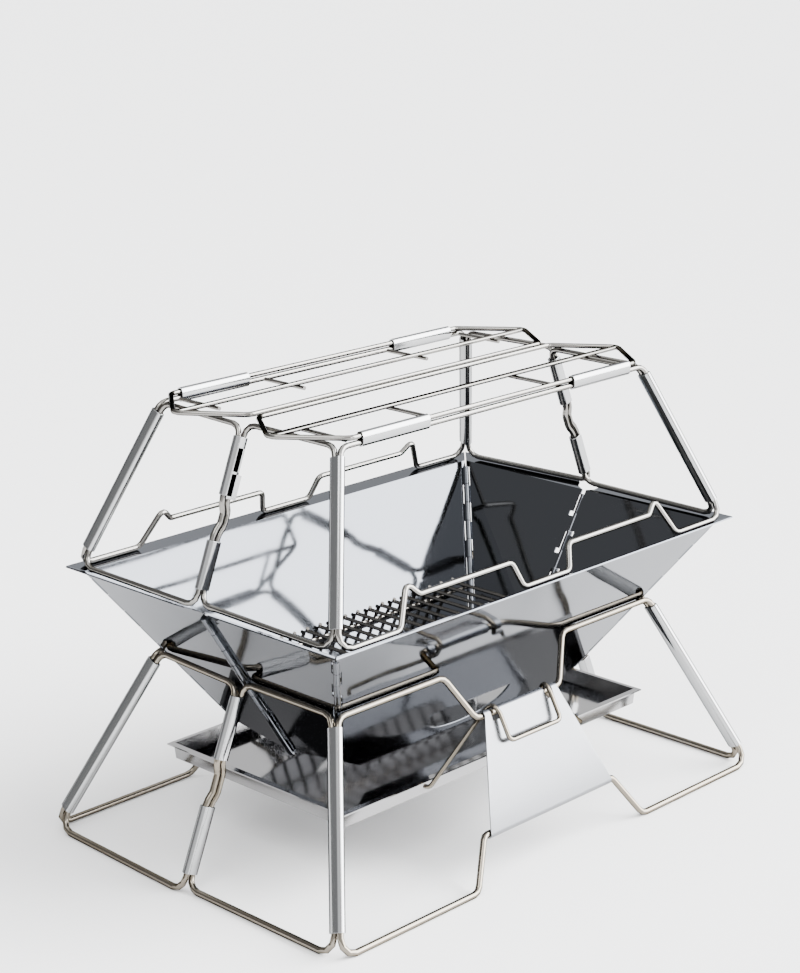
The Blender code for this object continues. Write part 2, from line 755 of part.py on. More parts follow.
def hinge_pins():
    made = {}
    for end_name, end in ENDS.items():
        for side_name, side in SIDES.items():
            name = f"bowl_{side_name}_{end_name}_hinge_pin"
            made[name] = wire(name, corner_line(end, side), 2 * PIN_RADIUS)
        if end < 0:
            name = f"bowl_{end_name}_middle_hinge_pin"
            made[name] = wire(name, middle_line(end), 2 * PIN_RADIUS)
    return made


def charcoal_grate():
    """Round bars welded across four runners."""
    wall_y = line_at(BOWL_LOW, BOWL_HIGH, GRATE_Z - GRATE_WIRE / 2)[1]
    half_y = wall_y + 0.0010
    half_x = GRATE_PITCH * (GRATE_BARS - 1) / 2
    bars = []
    for index in range(GRATE_BARS):
        x = -half_x + GRATE_PITCH * index
        ends = [Vector((x, -half_y, GRATE_Z)), Vector((x, half_y, GRATE_Z))]
        bars.append(meshed(wire(f"grate_bar_{index}", ends, GRATE_WIRE, resolution=1)))
    runner_z = GRATE_Z - GRATE_WIRE * 0.85
    runners = []
    for index, y in enumerate(GRATE_RUNNERS):
        ends = [Vector((-half_x - 0.004, y, runner_z)), Vector((half_x + 0.004, y, runner_z))]
        name = "charcoal_grate" if index == 0 else f"grate_runner_{index}"
        runners.append(meshed(wire(name, ends, GRATE_WIRE, resolution=1)))
    return fuse(runners[0], runners[1:] + bars)


def rack_leaf(side_name):
    """Half of the top rack: a stretched loop, a bar between its points, and cross wires."""
    side = SIDES[side_name]
    z = POT_HIGH.z + (POT_WIRE + RACK_WIRE) / 2 + GAP
    outer_y = abs(long_point(POT_LOW, POT_HIGH, side, POT_WIRE + GAP, 0.0, POT_HIGH.z).y)
    peak_y = (outer_y + RACK_INNER_Y) / 2
    loop = [(Vector((x * RACK_OUTER_HALF, side * outer_y, z)), RACK_BEND) for x in (-1, 1)]
    loop += [(Vector((RACK_PEAK, side * peak_y, z)), RACK_BEND)]
    loop += [(Vector((x * RACK_INNER_HALF, side * RACK_INNER_Y, z)), RACK_BEND) for x in (1, -1)]
    loop += [(Vector((-RACK_PEAK, side * peak_y, z)), RACK_BEND)]
    base = meshed(wire(f"{side_name}_rack_leaf", rounded(loop, closed=True), RACK_WIRE, closed=True))
    members = []
    reach = RACK_PEAK - RACK_SPINE_INSET
    spine = wire(f"{side_name}_rack_spine", [Vector((-reach, side * peak_y, z)),
                                              Vector((reach, side * peak_y, z))], RACK_WIRE)
    members.append(meshed(spine))
    under = z - RACK_WIRE * 0.8
    for index, x in enumerate(RACK_CROSS_X):
        cross = wire(f"{side_name}_rack_cross_{index}",
                     [Vector((x, side * (peak_y - CROSS_INNER), under)),
                      Vector((x, side * (outer_y - CROSS_OUTER), under))], RACK_WIRE * 0.8)
        members.append(meshed(cross))
    return fuse(base, members)


def rack_sleeves():
    made = {}
    for side_name, side in SIDES.items():
        rail = long_point(POT_LOW, POT_HIGH, side, POT_WIRE + GAP, 0.0, POT_HIGH.z)
        spacing = (POT_WIRE + RACK_WIRE) / 2 + GAP
        for end_name, end in ENDS.items():
            spots = [Vector((end * x, rail.y, rail.z)) for x in RACK_SLEEVE_X]
            name = f"{side_name}_{end_name}_rack_sleeve"
            made[name] = sleeve(name, spots[0], spots[1], Vector((0.0, 0.0, 1.0)), spacing, POT_WIRE)
    return made


def boolean_tools(piece):
    found = []
    for modifier in piece.modifiers:
        if modifier.type == "BOOLEAN":
            found += [modifier.object] if modifier.object else list(modifier.collection.objects)
    return found


def axis_empty(name, point, holder, piece_names):
    """An empty on a joint's axis, held by the joint before it, that carries the named pieces."""
    empty = bpy.data.objects.new(name, None)
    MODEL.objects.link(empty)
    empty.location = point
    if holder:
        empty.parent = holder
        empty.matrix_parent_inverse = Matrix.Translation(-holder.matrix_world.translation)
    bpy.context.view_layer.update()
    for piece_name in piece_names:
        piece = bpy.data.objects[piece_name]
        for item in [piece] + boolean_tools(piece):
            item.parent = empty
            item.matrix_parent_inverse = Matrix.Translation(-empty.matrix_world.translation)
    return empty


def ring_axes(unit, low, middle, holder, half_end, sides):
    """Empties on a unit's hinge lines, from the front side round to the back right half-end."""
    def corner(end, side):
        return Vector((end * low.x, side * low.y, low.z))

    mates = sides["middle"]
    left = axis_empty(f"{unit}_fold_axis", corner(-1, -1), holder,
                      [half_end.format("front_left")] + [name.format("left") for name in mates])
    left = axis_empty(f"{unit}_left_middle_axis", middle, left, [half_end.format("back_left")])
    back = axis_empty(f"{unit}_back_left_axis", corner(-1, 1), left, sides["back"])
    axis_empty(f"{unit}_back_right_axis", corner(1, 1), back, [half_end.format("back_right")])
    right_mates = [name.format("right") for name in mates if "pin" not in name]
    axis_empty(f"{unit}_front_right_axis", corner(1, -1), holder,
               [half_end.format("front_right")] + right_mates)
    return back


def wire_ring_axes(unit, low, high, pitch, holder, extra):
    """A wire unit's axes; its long sides carry the corner sleeves and the extra pieces."""
    back = [f"{unit}_back_frame"] + [name for name in extra if "back" in name]
    back += [f"{unit}_back_{end_name}_corner_sleeve" for end_name in ENDS]
    mates = [unit + "_{}_lower_middle_sleeve", unit + "_{}_upper_middle_sleeve"]
    middle = end_point(low, high, -1, pitch, 0.0, low.z)
    return ring_axes(unit, low, middle, holder, unit + "_{}_end_frame",
                     {"back": back, "middle": mates})


def hinge_axes():
    """Puts every moving piece under an empty that lies on its joint's axis."""
    base = Vector((0.0, 0.0, 0.0))
    back = wire_ring_axes("stand", STAND_LOW, STAND_HIGH, STAND_WIRE + GAP, None, ["back_plate"])
    axis_empty("tray_drop_axis", base, None, ["ash_tray"])
    for side_name, holder in (("front", None), ("back", back)):
        rail = long_point(STAND_LOW, STAND_HIGH, SIDES[side_name], STAND_WIRE + GAP, 0.0, DIP_Z)
        axis_empty(f"{side_name}_hanger_axis", rail, holder, [f"{side_name}_tray_hanger"])

    bowl_pieces = ["bowl_front_panel", "bowl_front_left_hinge_pin", "bowl_front_right_hinge_pin"]
    bowl = axis_empty("bowl_lift_axis", base, None, bowl_pieces)
    bowl_back = ["bowl_back_panel", "bowl_back_left_hinge_pin", "bowl_back_right_hinge_pin"]
    ring_axes("bowl", BOWL_LOW, middle_line(-1)[0], bowl, "bowl_{}_end_panel",
              {"back": bowl_back, "middle": ["bowl_{}_middle_hinge_pin"]})
    grate = axis_empty("grate_lift_axis", base, bowl, ["charcoal_grate"])

    pot_pieces = ["pot_front_frame"] + [f"pot_front_{end_name}_corner_sleeve" for end_name in ENDS]
    pot_pieces += [f"front_{end_name}_rack_sleeve" for end_name in ENDS]
    pot = axis_empty("pot_lift_axis", base, grate, pot_pieces)
    back = wire_ring_axes("pot", POT_LOW, POT_HIGH, POT_WIRE + GAP, pot,
                          [f"back_{end_name}_rack_sleeve" for end_name in ENDS])
    for side_name, holder in (("front", pot), ("back", back)):
        rail = long_point(POT_LOW, POT_HIGH, SIDES[side_name], POT_WIRE + GAP, 0.0, POT_HIGH.z)
        rail.z += (POT_WIRE + RACK_WIRE) / 2 + GAP
        axis_empty(f"{side_name}_rack_axis", rail, holder, [f"{side_name}_rack_leaf"])


def build():
    for side_name in SIDES:
        stand_long_frame(side_name)
        pot_long_frame(side_name)
        side_plate(side_name)
        tray_hanger(side_name)
        long_panel(side_name)
        rack_leaf(side_name)
        for end_name in ENDS:
            half_end_panel(end_name, side_name)
    end_frames("stand", STAND_LOW, STAND_HIGH, STAND_WIRE, STAND_BEND, STAND_KINK_Z, 0.0)
    end_frames("pot", POT_LOW, POT_HIGH, POT_WIRE, POT_BEND, POT_KINK_Z, POT_END_LIFT)
    leg_sleeves("stand", STAND_LOW, STAND_HIGH, STAND_WIRE + GAP, STAND_WIRE,
                STAND_CORNER_SLEEVE_Z, STAND_MIDDLE_SLEEVE_Z)
    leg_sleeves("pot", POT_LOW, POT_HIGH, POT_WIRE + GAP, POT_WIRE,
                POT_CORNER_SLEEVE_Z, POT_MIDDLE_SLEEVE_Z)
    rack_sleeves()
    hinge_pins()
    charcoal_grate()
    ash_tray()
    hinge_axes()


clear_scene()
MODEL = new_collection("folding_fire_pit")
CUTTERS = new_collection("cutters", hidden=True)
build()
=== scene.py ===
"""Looks of the folding fire pit: steel finishes, sleeves, knuckles, rims, studio and camera."""

import json
import math

import bmesh
import bpy
from mathutils import Matrix, Vector


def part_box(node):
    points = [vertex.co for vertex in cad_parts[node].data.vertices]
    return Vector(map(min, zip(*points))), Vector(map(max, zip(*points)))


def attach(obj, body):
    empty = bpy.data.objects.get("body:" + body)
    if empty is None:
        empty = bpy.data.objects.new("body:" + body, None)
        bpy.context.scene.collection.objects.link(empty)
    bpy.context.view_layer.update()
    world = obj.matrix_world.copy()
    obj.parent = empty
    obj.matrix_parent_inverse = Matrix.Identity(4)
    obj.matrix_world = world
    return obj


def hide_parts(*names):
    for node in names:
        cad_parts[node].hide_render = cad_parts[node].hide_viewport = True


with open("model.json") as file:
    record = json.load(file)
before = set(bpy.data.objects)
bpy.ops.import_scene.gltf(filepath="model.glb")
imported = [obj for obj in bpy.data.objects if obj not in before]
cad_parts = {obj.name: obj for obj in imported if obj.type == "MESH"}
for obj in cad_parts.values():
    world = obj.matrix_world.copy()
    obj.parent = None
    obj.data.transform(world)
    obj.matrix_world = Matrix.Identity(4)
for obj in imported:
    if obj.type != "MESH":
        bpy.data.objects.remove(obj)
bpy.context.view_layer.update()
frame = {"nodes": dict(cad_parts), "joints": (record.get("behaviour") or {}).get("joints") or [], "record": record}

WIRE_SMOOTH = math.radians(52)
SHEET_SMOOTH = math.radians(20)
WELD_REACH = 1e-6

# Camera
CAMERA_PLACE = Vector((-1.18031, -1.14828, 0.73170))
CAMERA_FORWARD = Vector((0.68572, 0.67267, -0.27804))
CAMERA_ROLL = math.radians(-0.5351)
CAMERA_LENS = 83.3
SENSOR = 36.0

# Sleeves: how far each kind is drawn out down and up its leg, as heights, and how its ends roll
SLEEVE_GROWTH = {
    "stand corner_sleeve": (0.0020, 0.0085),
    "stand lower_middle_sleeve": (0.0035, 0.0010),
    "stand upper_middle_sleeve": (0.0010, 0.0085),
    "pot corner_sleeve": (0.0010, 0.0065),
    "pot lower_middle_sleeve": (0.0010, 0.0),
    "pot upper_middle_sleeve": (0.0, 0.0050),
}
SLEEVE_ROLL = 0.0002
SLEEVE_END_ANGLE = math.radians(60)
SLEEVE_SMOOTH = math.radians(50)

# Hinges of the bowl: joint, whether its line is mirrored to the right end, heights, and the
# bodies that own the even and the odd knuckles
CORNER_HEIGHTS = (0.0880, 0.2035)
MIDDLE_HEIGHTS = (0.0770, 0.2035)
HINGES = (
    ("bowl_fold", False, CORNER_HEIGHTS, ("bowl_front", "bowl_front_left")),
    ("bowl_back_left_hinge", False, CORNER_HEIGHTS, ("bowl_back", "bowl_back_left")),
    ("bowl_back_right_hinge", False, CORNER_HEIGHTS, ("bowl_back", "bowl_back_right")),
    ("bowl_front_right_hinge", False, CORNER_HEIGHTS, ("bowl_front", "bowl_front_right")),
    ("bowl_left_middle_hinge", False, MIDDLE_HEIGHTS, ("bowl_front_left", "bowl_back_left")),
    ("bowl_left_middle_hinge", True, MIDDLE_HEIGHTS, ("bowl_front_right", "bowl_back_right")),
)
HINGE_KNUCKLES = 9
KNUCKLE_GAP = 0.0003
KNUCKLE_RADIUS = 0.0026
KNUCKLE_SMOOTH = math.radians(40)
ROUND_SIDES = 24
PIN_RADIUS = 0.0011

# Notch strips: from the hinge line to their two edges, and the sheet they continue
NOTCH_NEAR = 0.0028
NOTCH_FAR = 0.0064
SHEET_DEPTH = 0.00185
SHEET_HALF = 0.00053

# Latch cheeks of the pot stand: (from, to) heights and how far each step reaches in
CHEEK_SHEET = 0.0008
CHEEK_STEPS = ((0.2868, 0.3035, 0.0095), (0.3050, 0.3210, 0.0060))

# Vents: a straight top edge with a bow below it, fuller than a half ellipse
VENT_TOP_Z = 0.1010
VENT_HALF_X = 0.0440
VENT_DEPTH = 0.0270
VENT_BOW = 0.7
VENT_ROLL = 0.0008
VENT_STEPS = 28

# Charcoal grate
GRATE_WIRE = 0.0030
GRATE_PITCH = 0.0140
GRATE_BARS = 20
CURL_RADIUS = 0.0016
CURL_TURN = math.radians(130)
CURL_STEPS = 8
CURVE_ROUND = 3

# Studio: where its bright and dark sides lie, each with the cosines of its outer and inner edge
WINDOW_WAY = (0.70, -0.60, 0.42)
WINDOW_EDGE = (0.79, 0.91)
DARK_WALL_WAY = (-0.54, 0.67, 0.42)
DARK_WALL_EDGE = (0.55, 0.80)
CEILING_WAY = (0.0, 0.0, 1.0)
CEILING_EDGE = (0.60, 0.95)
ROOM_LEVEL = 1.6
WALL_DEPTH = 0.70
WINDOW_LEVEL = 22.0
CEILING_LEVEL = 1.6
ROOM_SHADE = (0.985, 0.99, 1.0, 1.0)
LIT_POINT = (0.0, 0.0, 0.2)
FLOOR_REACH = 60.0
FLOOR_SHADE = (0.90, 0.90, 0.90)
FLOOR_ROUGHNESS = 0.6

# Steel: smudges are broad and soft, streaks run along the sheet and up it, waves are slow
SMUDGE_SCALE = 26.0
SMUDGE_POWER = 2.2
STREAK_X_STRETCH = (18.0, 900.0, 900.0)
STREAK_Z_STRETCH = (900.0, 900.0, 22.0)
STREAK_POWER = 5.0
STREAK_HEIGHT = 0.004
WAVE_SCALE = 9.0
STRAW = (0.17, 0.130, 0.080)


def new_socket(group, name, kind, direction, value=None):
    made = group.interface.new_socket(name=name, in_out=direction, socket_type=kind)
    if value is not None:
        made.default_value = value
    return made


def node(tree, kind, **settings):
    made = tree.nodes.new(kind)
    for name, value in settings.items():
        setattr(made, name, value)
    return made


def maths(tree, operation, first, second=None, third=None):
    made = node(tree, "ShaderNodeMath", operation=operation)
    for index, value in enumerate((first, second, third)):
        if value is None:
            continue
        if hasattr(value, "links"):
            tree.links.new(value, made.inputs[index])
        else:
            made.inputs[index].default_value = value
    return made.outputs[0]


def noise(tree, vector, scale, detail, roughness=0.5):
    made = node(tree, "ShaderNodeTexNoise")
    tree.links.new(vector, made.inputs["Vector"])
    made.inputs["Scale"].default_value = scale
    made.inputs["Detail"].default_value = detail
    made.inputs["Roughness"].default_value = roughness
    return made.outputs["Fac"]


def stretched(tree, vector, scale):
    made = node(tree, "ShaderNodeMapping")
    tree.links.new(vector, made.inputs["Vector"])
    made.inputs["Scale"].default_value = scale
    return made.outputs["Vector"]


def handled_steel_group():
    """Roughness and height of polished steel: smudges, fine scratches and slight waviness."""
    group = bpy.data.node_groups.new("handled_steel", "ShaderNodeTree")
    new_socket(group, "Base Roughness", "NodeSocketFloat", "INPUT", 0.08)
    new_socket(group, "Smudge Amount", "NodeSocketFloat", "INPUT", 0.10)
    new_socket(group, "Scratch Amount", "NodeSocketFloat", "INPUT", 0.05)
    new_socket(group, "Wave Height", "NodeSocketFloat", "INPUT", 0.5)
    new_socket(group, "Roughness", "NodeSocketFloat", "OUTPUT")
    new_socket(group, "Height", "NodeSocketFloat", "OUTPUT")
    source = node(group, "NodeGroupInput")
    sink = node(group, "NodeGroupOutput")
    place = node(group, "ShaderNodeTexCoord").outputs["Object"]
    smudge = noise(group, place, SMUDGE_SCALE, detail=5.0, roughness=0.62)
    smudge = maths(group, "POWER", smudge, SMUDGE_POWER)
    streak_x = noise(group, stretched(group, place, STREAK_X_STRETCH), 1.0, detail=2.0)
    streak_z = noise(group, stretched(group, place, STREAK_Z_STRETCH), 1.0, detail=2.0)
    streak = maths(group, "MAXIMUM", streak_x, streak_z)
    streak = maths(group, "POWER", streak, STREAK_POWER)
    rough = maths(group, "MULTIPLY_ADD", smudge, source.outputs["Smudge Amount"],
                  source.outputs["Base Roughness"])
    rough = maths(group, "MULTIPLY_ADD", streak, source.outputs["Scratch Amount"], rough)
    group.links.new(rough, sink.inputs["Roughness"])
    wave = noise(group, place, WAVE_SCALE, detail=1.0)
    height = maths(group, "MULTIPLY", wave, source.outputs["Wave Height"])
    height = maths(group, "MULTIPLY_ADD", streak, STREAK_HEIGHT, height)
    group.links.new(height, sink.inputs["Height"])
    return group


def heat_tint_group():
    """Steel colour that turns from its own shade to a faint straw tint in soft patches."""
    group = bpy.data.node_groups.new("heat_tint", "ShaderNodeTree")
    new_socket(group, "Steel", "NodeSocketColor", "INPUT", (0.8, 0.8, 0.8, 1.0))
    new_socket(group, "Tint", "NodeSocketColor", "INPUT", (0.7, 0.6, 0.45, 1.0))
    new_socket(group, "Amount", "NodeSocketFloat", "INPUT", 0.3)
    new_socket(group, "Patch Scale", "NodeSocketFloat", "INPUT", 14.0)
    new_socket(group, "Color", "NodeSocketColor", "OUTPUT")
    source = node(group, "NodeGroupInput")
    sink = node(group, "NodeGroupOutput")
    patches = node(group, "ShaderNodeTexNoise")
    group.links.new(node(group, "ShaderNodeTexCoord").outputs["Object"], patches.inputs["Vector"])
    group.links.new(source.outputs["Patch Scale"], patches.inputs["Scale"])
    patches.inputs["Detail"].default_value = 3.0
    share = maths(group, "MULTIPLY", patches.outputs["Fac"], source.outputs["Amount"])
    mix = node(group, "ShaderNodeMix", data_type="RGBA")
    group.links.new(share, mix.inputs["Factor"])
    group.links.new(source.outputs["Steel"], mix.inputs[6])
    group.links.new(source.outputs["Tint"], mix.inputs[7])
    group.links.new(mix.outputs[2], sink.inputs["Color"])
    return group


HANDLED = handled_steel_group()
TINT = heat_tint_group()


def steel(name, shade, straw, roughness, smudge, scratch, wave, depth, edge_tint=1.0):
    """A steel finish; depth is its bump height in metres, edge_tint its grazing reflection."""
    material = bpy.data.materials.new(name)
    material.use_nodes = True
    tree = material.node_tree
    shader = tree.nodes["Principled BSDF"]
    shader.inputs["Metallic"].default_value = 1.0
    handled = node(tree, "ShaderNodeGroup", node_tree=HANDLED)
    handled.inputs["Base Roughness"].default_value = roughness
    handled.inputs["Smudge Amount"].default_value = smudge
    handled.inputs["Scratch Amount"].default_value = scratch
    handled.inputs["Wave Height"].default_value = wave
    tree.links.new(handled.outputs["Roughness"], shader.inputs["Roughness"])
    tinted = node(tree, "ShaderNodeGroup", node_tree=TINT)
    tinted.inputs["Steel"].default_value = (*shade, 1.0)
    tinted.inputs["Tint"].default_value = (*STRAW, 1.0)
    tinted.inputs["Amount"].default_value = straw
    tree.links.new(tinted.outputs["Color"], shader.inputs["Base Color"])
    shader.inputs["Specular Tint"].default_value = (edge_tint, edge_tint, edge_tint, 1.0)
    bump = node(tree, "ShaderNodeBump")
    bump.inputs["Strength"].default_value = 1.0
    bump.inputs["Distance"].default_value = depth
    tree.links.new(handled.outputs["Height"], bump.inputs["Height"])
    tree.links.new(bump.outputs["Normal"], shader.inputs["Normal"])
    return material


FINISHES = {
    "mirror_sheet": steel("mirror_sheet_steel", shade=(0.100, 0.107, 0.120), straw=0.05,
                          roughness=0.030, smudge=0.10, scratch=0.05, wave=1.0, depth=0.0009),
    "satin_sheet": steel("satin_plate_steel", shade=(0.165, 0.170, 0.180), straw=0.03,
                         roughness=0.22, smudge=0.10, scratch=0.10, wave=0.5, depth=0.0006),
    # Ash tray: a copy of the mirror steel whose shade is painted lighter, a painted reflection standing in for the
    # brighter light the tray shows; its extra smudges and straw tint are wear
    "tray_painted_bright_sheet": steel("tray_painted_bright_steel", shade=(0.30, 0.30, 0.305), straw=0.12,
                        roughness=0.06, smudge=0.16, scratch=0.10, wave=1.0, depth=0.0007),
    "pin": steel("pin_steel", shade=(0.12, 0.12, 0.12), straw=0.15, roughness=0.24,
                 smudge=0.15, scratch=0.08, wave=0.2, depth=0.0002, edge_tint=0.05),
    "sleeve": steel("sleeve_steel", shade=(0.36, 0.365, 0.37), straw=0.05, roughness=0.10,
                    smudge=0.10, scratch=0.06, wave=0.3, depth=0.0003, edge_tint=0.05),
    "stand_wire": steel("stand_wire_steel", shade=(0.205, 0.190, 0.165), straw=0.55,
                        roughness=0.12, smudge=0.14, scratch=0.06, wave=0.3, depth=0.0002,
                        edge_tint=0.03),
    "grate_wire": steel("grate_wire_steel", shade=(0.230, 0.222, 0.212), straw=0.30,
                        roughness=0.18, smudge=0.18, scratch=0.06, wave=0.2, depth=0.0002,
                        edge_tint=0.03),
    "pot_wire": steel("pot_wire_steel", shade=(0.205, 0.203, 0.196), straw=0.25,
                      roughness=0.10, smudge=0.12, scratch=0.06, wave=0.3, depth=0.0002,
                      edge_tint=0.03),
}
SLOT_OF_NODE = {entry["node"]: entry["material_slot"] for entry in frame["record"]["subparts"]}
SHEET_SLOTS = {"mirror_sheet", "satin_sheet"}


def finish_cad_nodes():
    """Gives each CAD node its finish, and shades its round surfaces smoothly."""
    for name, item in frame["nodes"].items():
        slot = SLOT_OF_NODE[name]
        item.data.materials.clear()
        # The ash tray takes the mirror steel with a painted lighter shade, a painted reflection
        item.data.materials.append(FINISHES["tray_painted_bright_sheet" if name == "ash_tray" else slot])
        item.data.polygons.foreach_set("use_smooth", [True] * len(item.data.polygons))
        weld = item.modifiers.new("weld", "WELD")
        weld.merge_threshold = WELD_REACH
        split = item.modifiers.new("crisp_edges", "EDGE_SPLIT")
        split.split_angle = SHEET_SMOOTH if slot in SHEET_SLOTS else WIRE_SMOOTH


def rider(name, mesh, body, slot):
    """A piece of the pit that rides on a body and takes its finish from a slot."""
    made = bpy.data.objects.new(name, mesh)
    bpy.context.scene.collection.objects.link(made)
    mesh.materials.append(FINISHES[slot])
    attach(made, body)
    return made


def grow_sleeve(node_name, body, down, up):
    """A sleeve drawn out along its legs, with rolled ends; down and up are heights."""
    mesh = frame["nodes"][node_name].data.copy()
    mesh.name = node_name + "_long"
    work = bmesh.new()
    work.from_mesh(mesh)
    bmesh.ops.remove_doubles(work, verts=work.verts, dist=WELD_REACH)
    bmesh.ops.dissolve_limit(work, angle_limit=math.radians(1), verts=work.verts, edges=work.edges)
    heights = [vert.co.z for vert in work.verts]
    middle = (min(heights) + max(heights)) / 2
    ends = [[vert for vert in work.verts if (vert.co.z > middle) == top] for top in (False, True)]
    foot, head = [sum((vert.co for vert in end), Vector()) / len(end) for end in ends]
    leg = (head - foot) / (head.z - foot.z)
    for end, rise in zip(ends, (-down, up)):
        for vert in end:
            vert.co += leg * rise
    work.to_mesh(mesh)
    work.free()
    mesh.materials.clear()
    sleeve = rider(mesh.name, mesh, body, "sleeve")
    edge = sleeve.modifiers.new("rolled_ends", "BEVEL")
    edge.width = SLEEVE_ROLL
    edge.segments = 2
    edge.limit_method = "ANGLE"
    edge.angle_limit = SLEEVE_END_ANGLE
    mesh.polygons.foreach_set("use_smooth", [True] * len(mesh.polygons))
    mesh.set_sharp_from_angle(angle=SLEEVE_SMOOTH)
    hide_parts(node_name)


def long_sleeves():
    """The sleeves on the legs run from bend to bend."""
    for body, members in frame["record"]["behaviour"]["bodies"].items():
        for node_name in members:
            for ending, (down, up) in SLEEVE_GROWTH.items():
                unit, kind = ending.split(" ")
                if node_name.startswith(unit) and node_name.endswith(kind):
                    grow_sleeve(node_name, body, down, up)


def joint(name):
    return next(entry for entry in frame["joints"] if entry["name"] == name)


def box_mesh(work, corner, edges):
    """Adds a box from one corner and its three edge vectors."""
    rows = [work.verts.new(corner + edges[0] * a + edges[1] * b + edges[2] * c)
            for c in (0, 1) for b in (0, 1) for a in (0, 1)]
    for face in ((0, 2, 3, 1), (4, 5, 7, 6), (0, 1, 5, 4), (2, 6, 7, 3), (0, 4, 6, 2), (1, 3, 7, 5)):
        work.faces.new([rows[index] for index in face])


def tube_mesh(work, start, end, radius):
    """Adds a closed round bar between two points."""
    along = (end - start).normalized()
    turn = along.to_track_quat("Z", "Y").to_matrix().to_4x4()
    bmesh.ops.create_cone(work, cap_ends=True, segments=ROUND_SIDES, radius1=radius, radius2=radius,
                          depth=(end - start).length,
                          matrix=Matrix.Translation((start + end) / 2) @ turn)


def hinge_line(name, heights, mirrored=False):
    """Start, direction and length of a hinge line between two heights."""
    hinge = joint(name)
    flip = Vector((-1.0, 1.0, 1.0)) if mirrored else Vector((1.0, 1.0, 1.0))
    foot, along = Vector(hinge["pos_m"]) * flip, (Vector(hinge["axis"]) * flip).normalized()
    if along.z < 0:
        along = -along
    start = foot + along * ((heights[0] - foot.z) / along.z)
    return start, along, (heights[1] - heights[0]) / along.z


def knuckle_spans(start, along, length):
    for index in range(HINGE_KNUCKLES):
        low = start + along * (length * index / HINGE_KNUCKLES + KNUCKLE_GAP)
        high = start + along * (length * (index + 1) / HINGE_KNUCKLES - KNUCKLE_GAP)
        yield index, low, high


def round_knuckles():
    """Round knuckles over the bowl's hinges, each on the panel that owns it, and a missing pin."""
    works = {}

    def work_of(body):
        if body not in works:
            works[body] = bmesh.new()
        return works[body]

    for name, mirrored, heights, owners in HINGES:
        start, along, length = hinge_line(name, heights, mirrored)
        for index, low, high in knuckle_spans(start, along, length):
            tube_mesh(work_of(owners[index % 2]), low, high, KNUCKLE_RADIUS)
            if mirrored:
                notch_strip(work_of(owners[1 - index % 2]), low, high, along,
                            -1.0 if index % 2 else 1.0)
        if mirrored:
            tube_mesh(work_of(owners[0]), start + along * KNUCKLE_GAP,
                      start + along * (length - KNUCKLE_GAP), PIN_RADIUS)
    for body, work in works.items():
        bmesh.ops.recalc_face_normals(work, faces=work.faces)
        mesh = bpy.data.meshes.new(body + "_knuckles")
        work.to_mesh(mesh)
        work.free()
        mesh.polygons.foreach_set("use_smooth", [True] * len(mesh.polygons))
        mesh.set_sharp_from_angle(angle=KNUCKLE_SMOOTH)
        rider(mesh.name, mesh, body, "mirror_sheet")


def notch_strip(work, low, high, along, way):
    """Fills a deep notch in a sheet's edge up to the knuckle; way is the sheet's side in Y."""
    out = Vector((along.z, 0.0, -along.x))
    side = Vector((0.0, way, 0.0))
    corner = low + side * NOTCH_NEAR - out * (SHEET_DEPTH + SHEET_HALF)
    box_mesh(work, corner, (side * (NOTCH_FAR - NOTCH_NEAR), high - low, out * 2 * SHEET_HALF))


def latch_cheeks():
    """The pot stand's upper left sleeve has two cheeks inside it, notched below their middle."""
    hinge = joint("pot_left_middle_hinge")
    foot, along = Vector(hinge["pos_m"]), Vector(hinge["axis"]).normalized()
    inward = Vector((along.z, 0.0, -along.x))
    low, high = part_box("pot_left_upper_middle_sleeve")
    work = bmesh.new()
    for side, edge_y in ((-1, low[1]), (1, high[1])):
        thick = Vector((0.0, -side * CHEEK_SHEET, 0.0))
        for from_z, to_z, depth in CHEEK_STEPS:
            corner = foot + along * ((from_z - foot.z) / along.z)
            corner.y = edge_y
            box_mesh(work, corner, (inward * depth, along * ((to_z - from_z) / along.z), thick))
    bmesh.ops.recalc_face_normals(work, faces=work.faces)
    mesh = bpy.data.meshes.new("latch_cheeks")
    work.to_mesh(mesh)
    work.free()
    rider("latch_cheeks", mesh, "pot_front_left", "sleeve")


def vent_rim():
    """A rolled rim round the front wall's vent and round the back wall's."""
    for body, name in (("bowl_front", "bowl_fold"), ("bowl_back", "bowl_back_left_hinge")):
        hinge = joint(name)
        foot, lean = Vector(hinge["pos_m"]), Vector(hinge["axis"])
        up = -Vector((0.0, lean.y, lean.z)).normalized()
        side = 1.0 if foot.y > 0 else -1.0
        out = Vector((0.0, side * up.z, -abs(up.y)))
        top = Vector((0.0, foot.y, foot.z)) + up * ((VENT_TOP_Z - foot.z) / up.z) + out * SHEET_DEPTH
        curve = bpy.data.curves.new(body + "_vent_rim", "CURVE")
        curve.dimensions = "3D"
        curve.bevel_depth = VENT_ROLL
        curve.bevel_resolution = CURVE_ROUND
        spline = curve.splines.new("POLY")
        spline.points.add(VENT_STEPS)
        spline.use_cyclic_u = True
        for step in range(VENT_STEPS + 1):
            angle = math.pi * step / VENT_STEPS
            x = -VENT_HALF_X * math.cos(angle)
            drop = VENT_DEPTH * max(math.sin(angle), 0.0) ** VENT_BOW
            spline.points[step].co = (*(top + Vector((x, 0.0, 0.0)) - up * drop), 1.0)
        rider(curve.name, curve, body, "mirror_sheet")


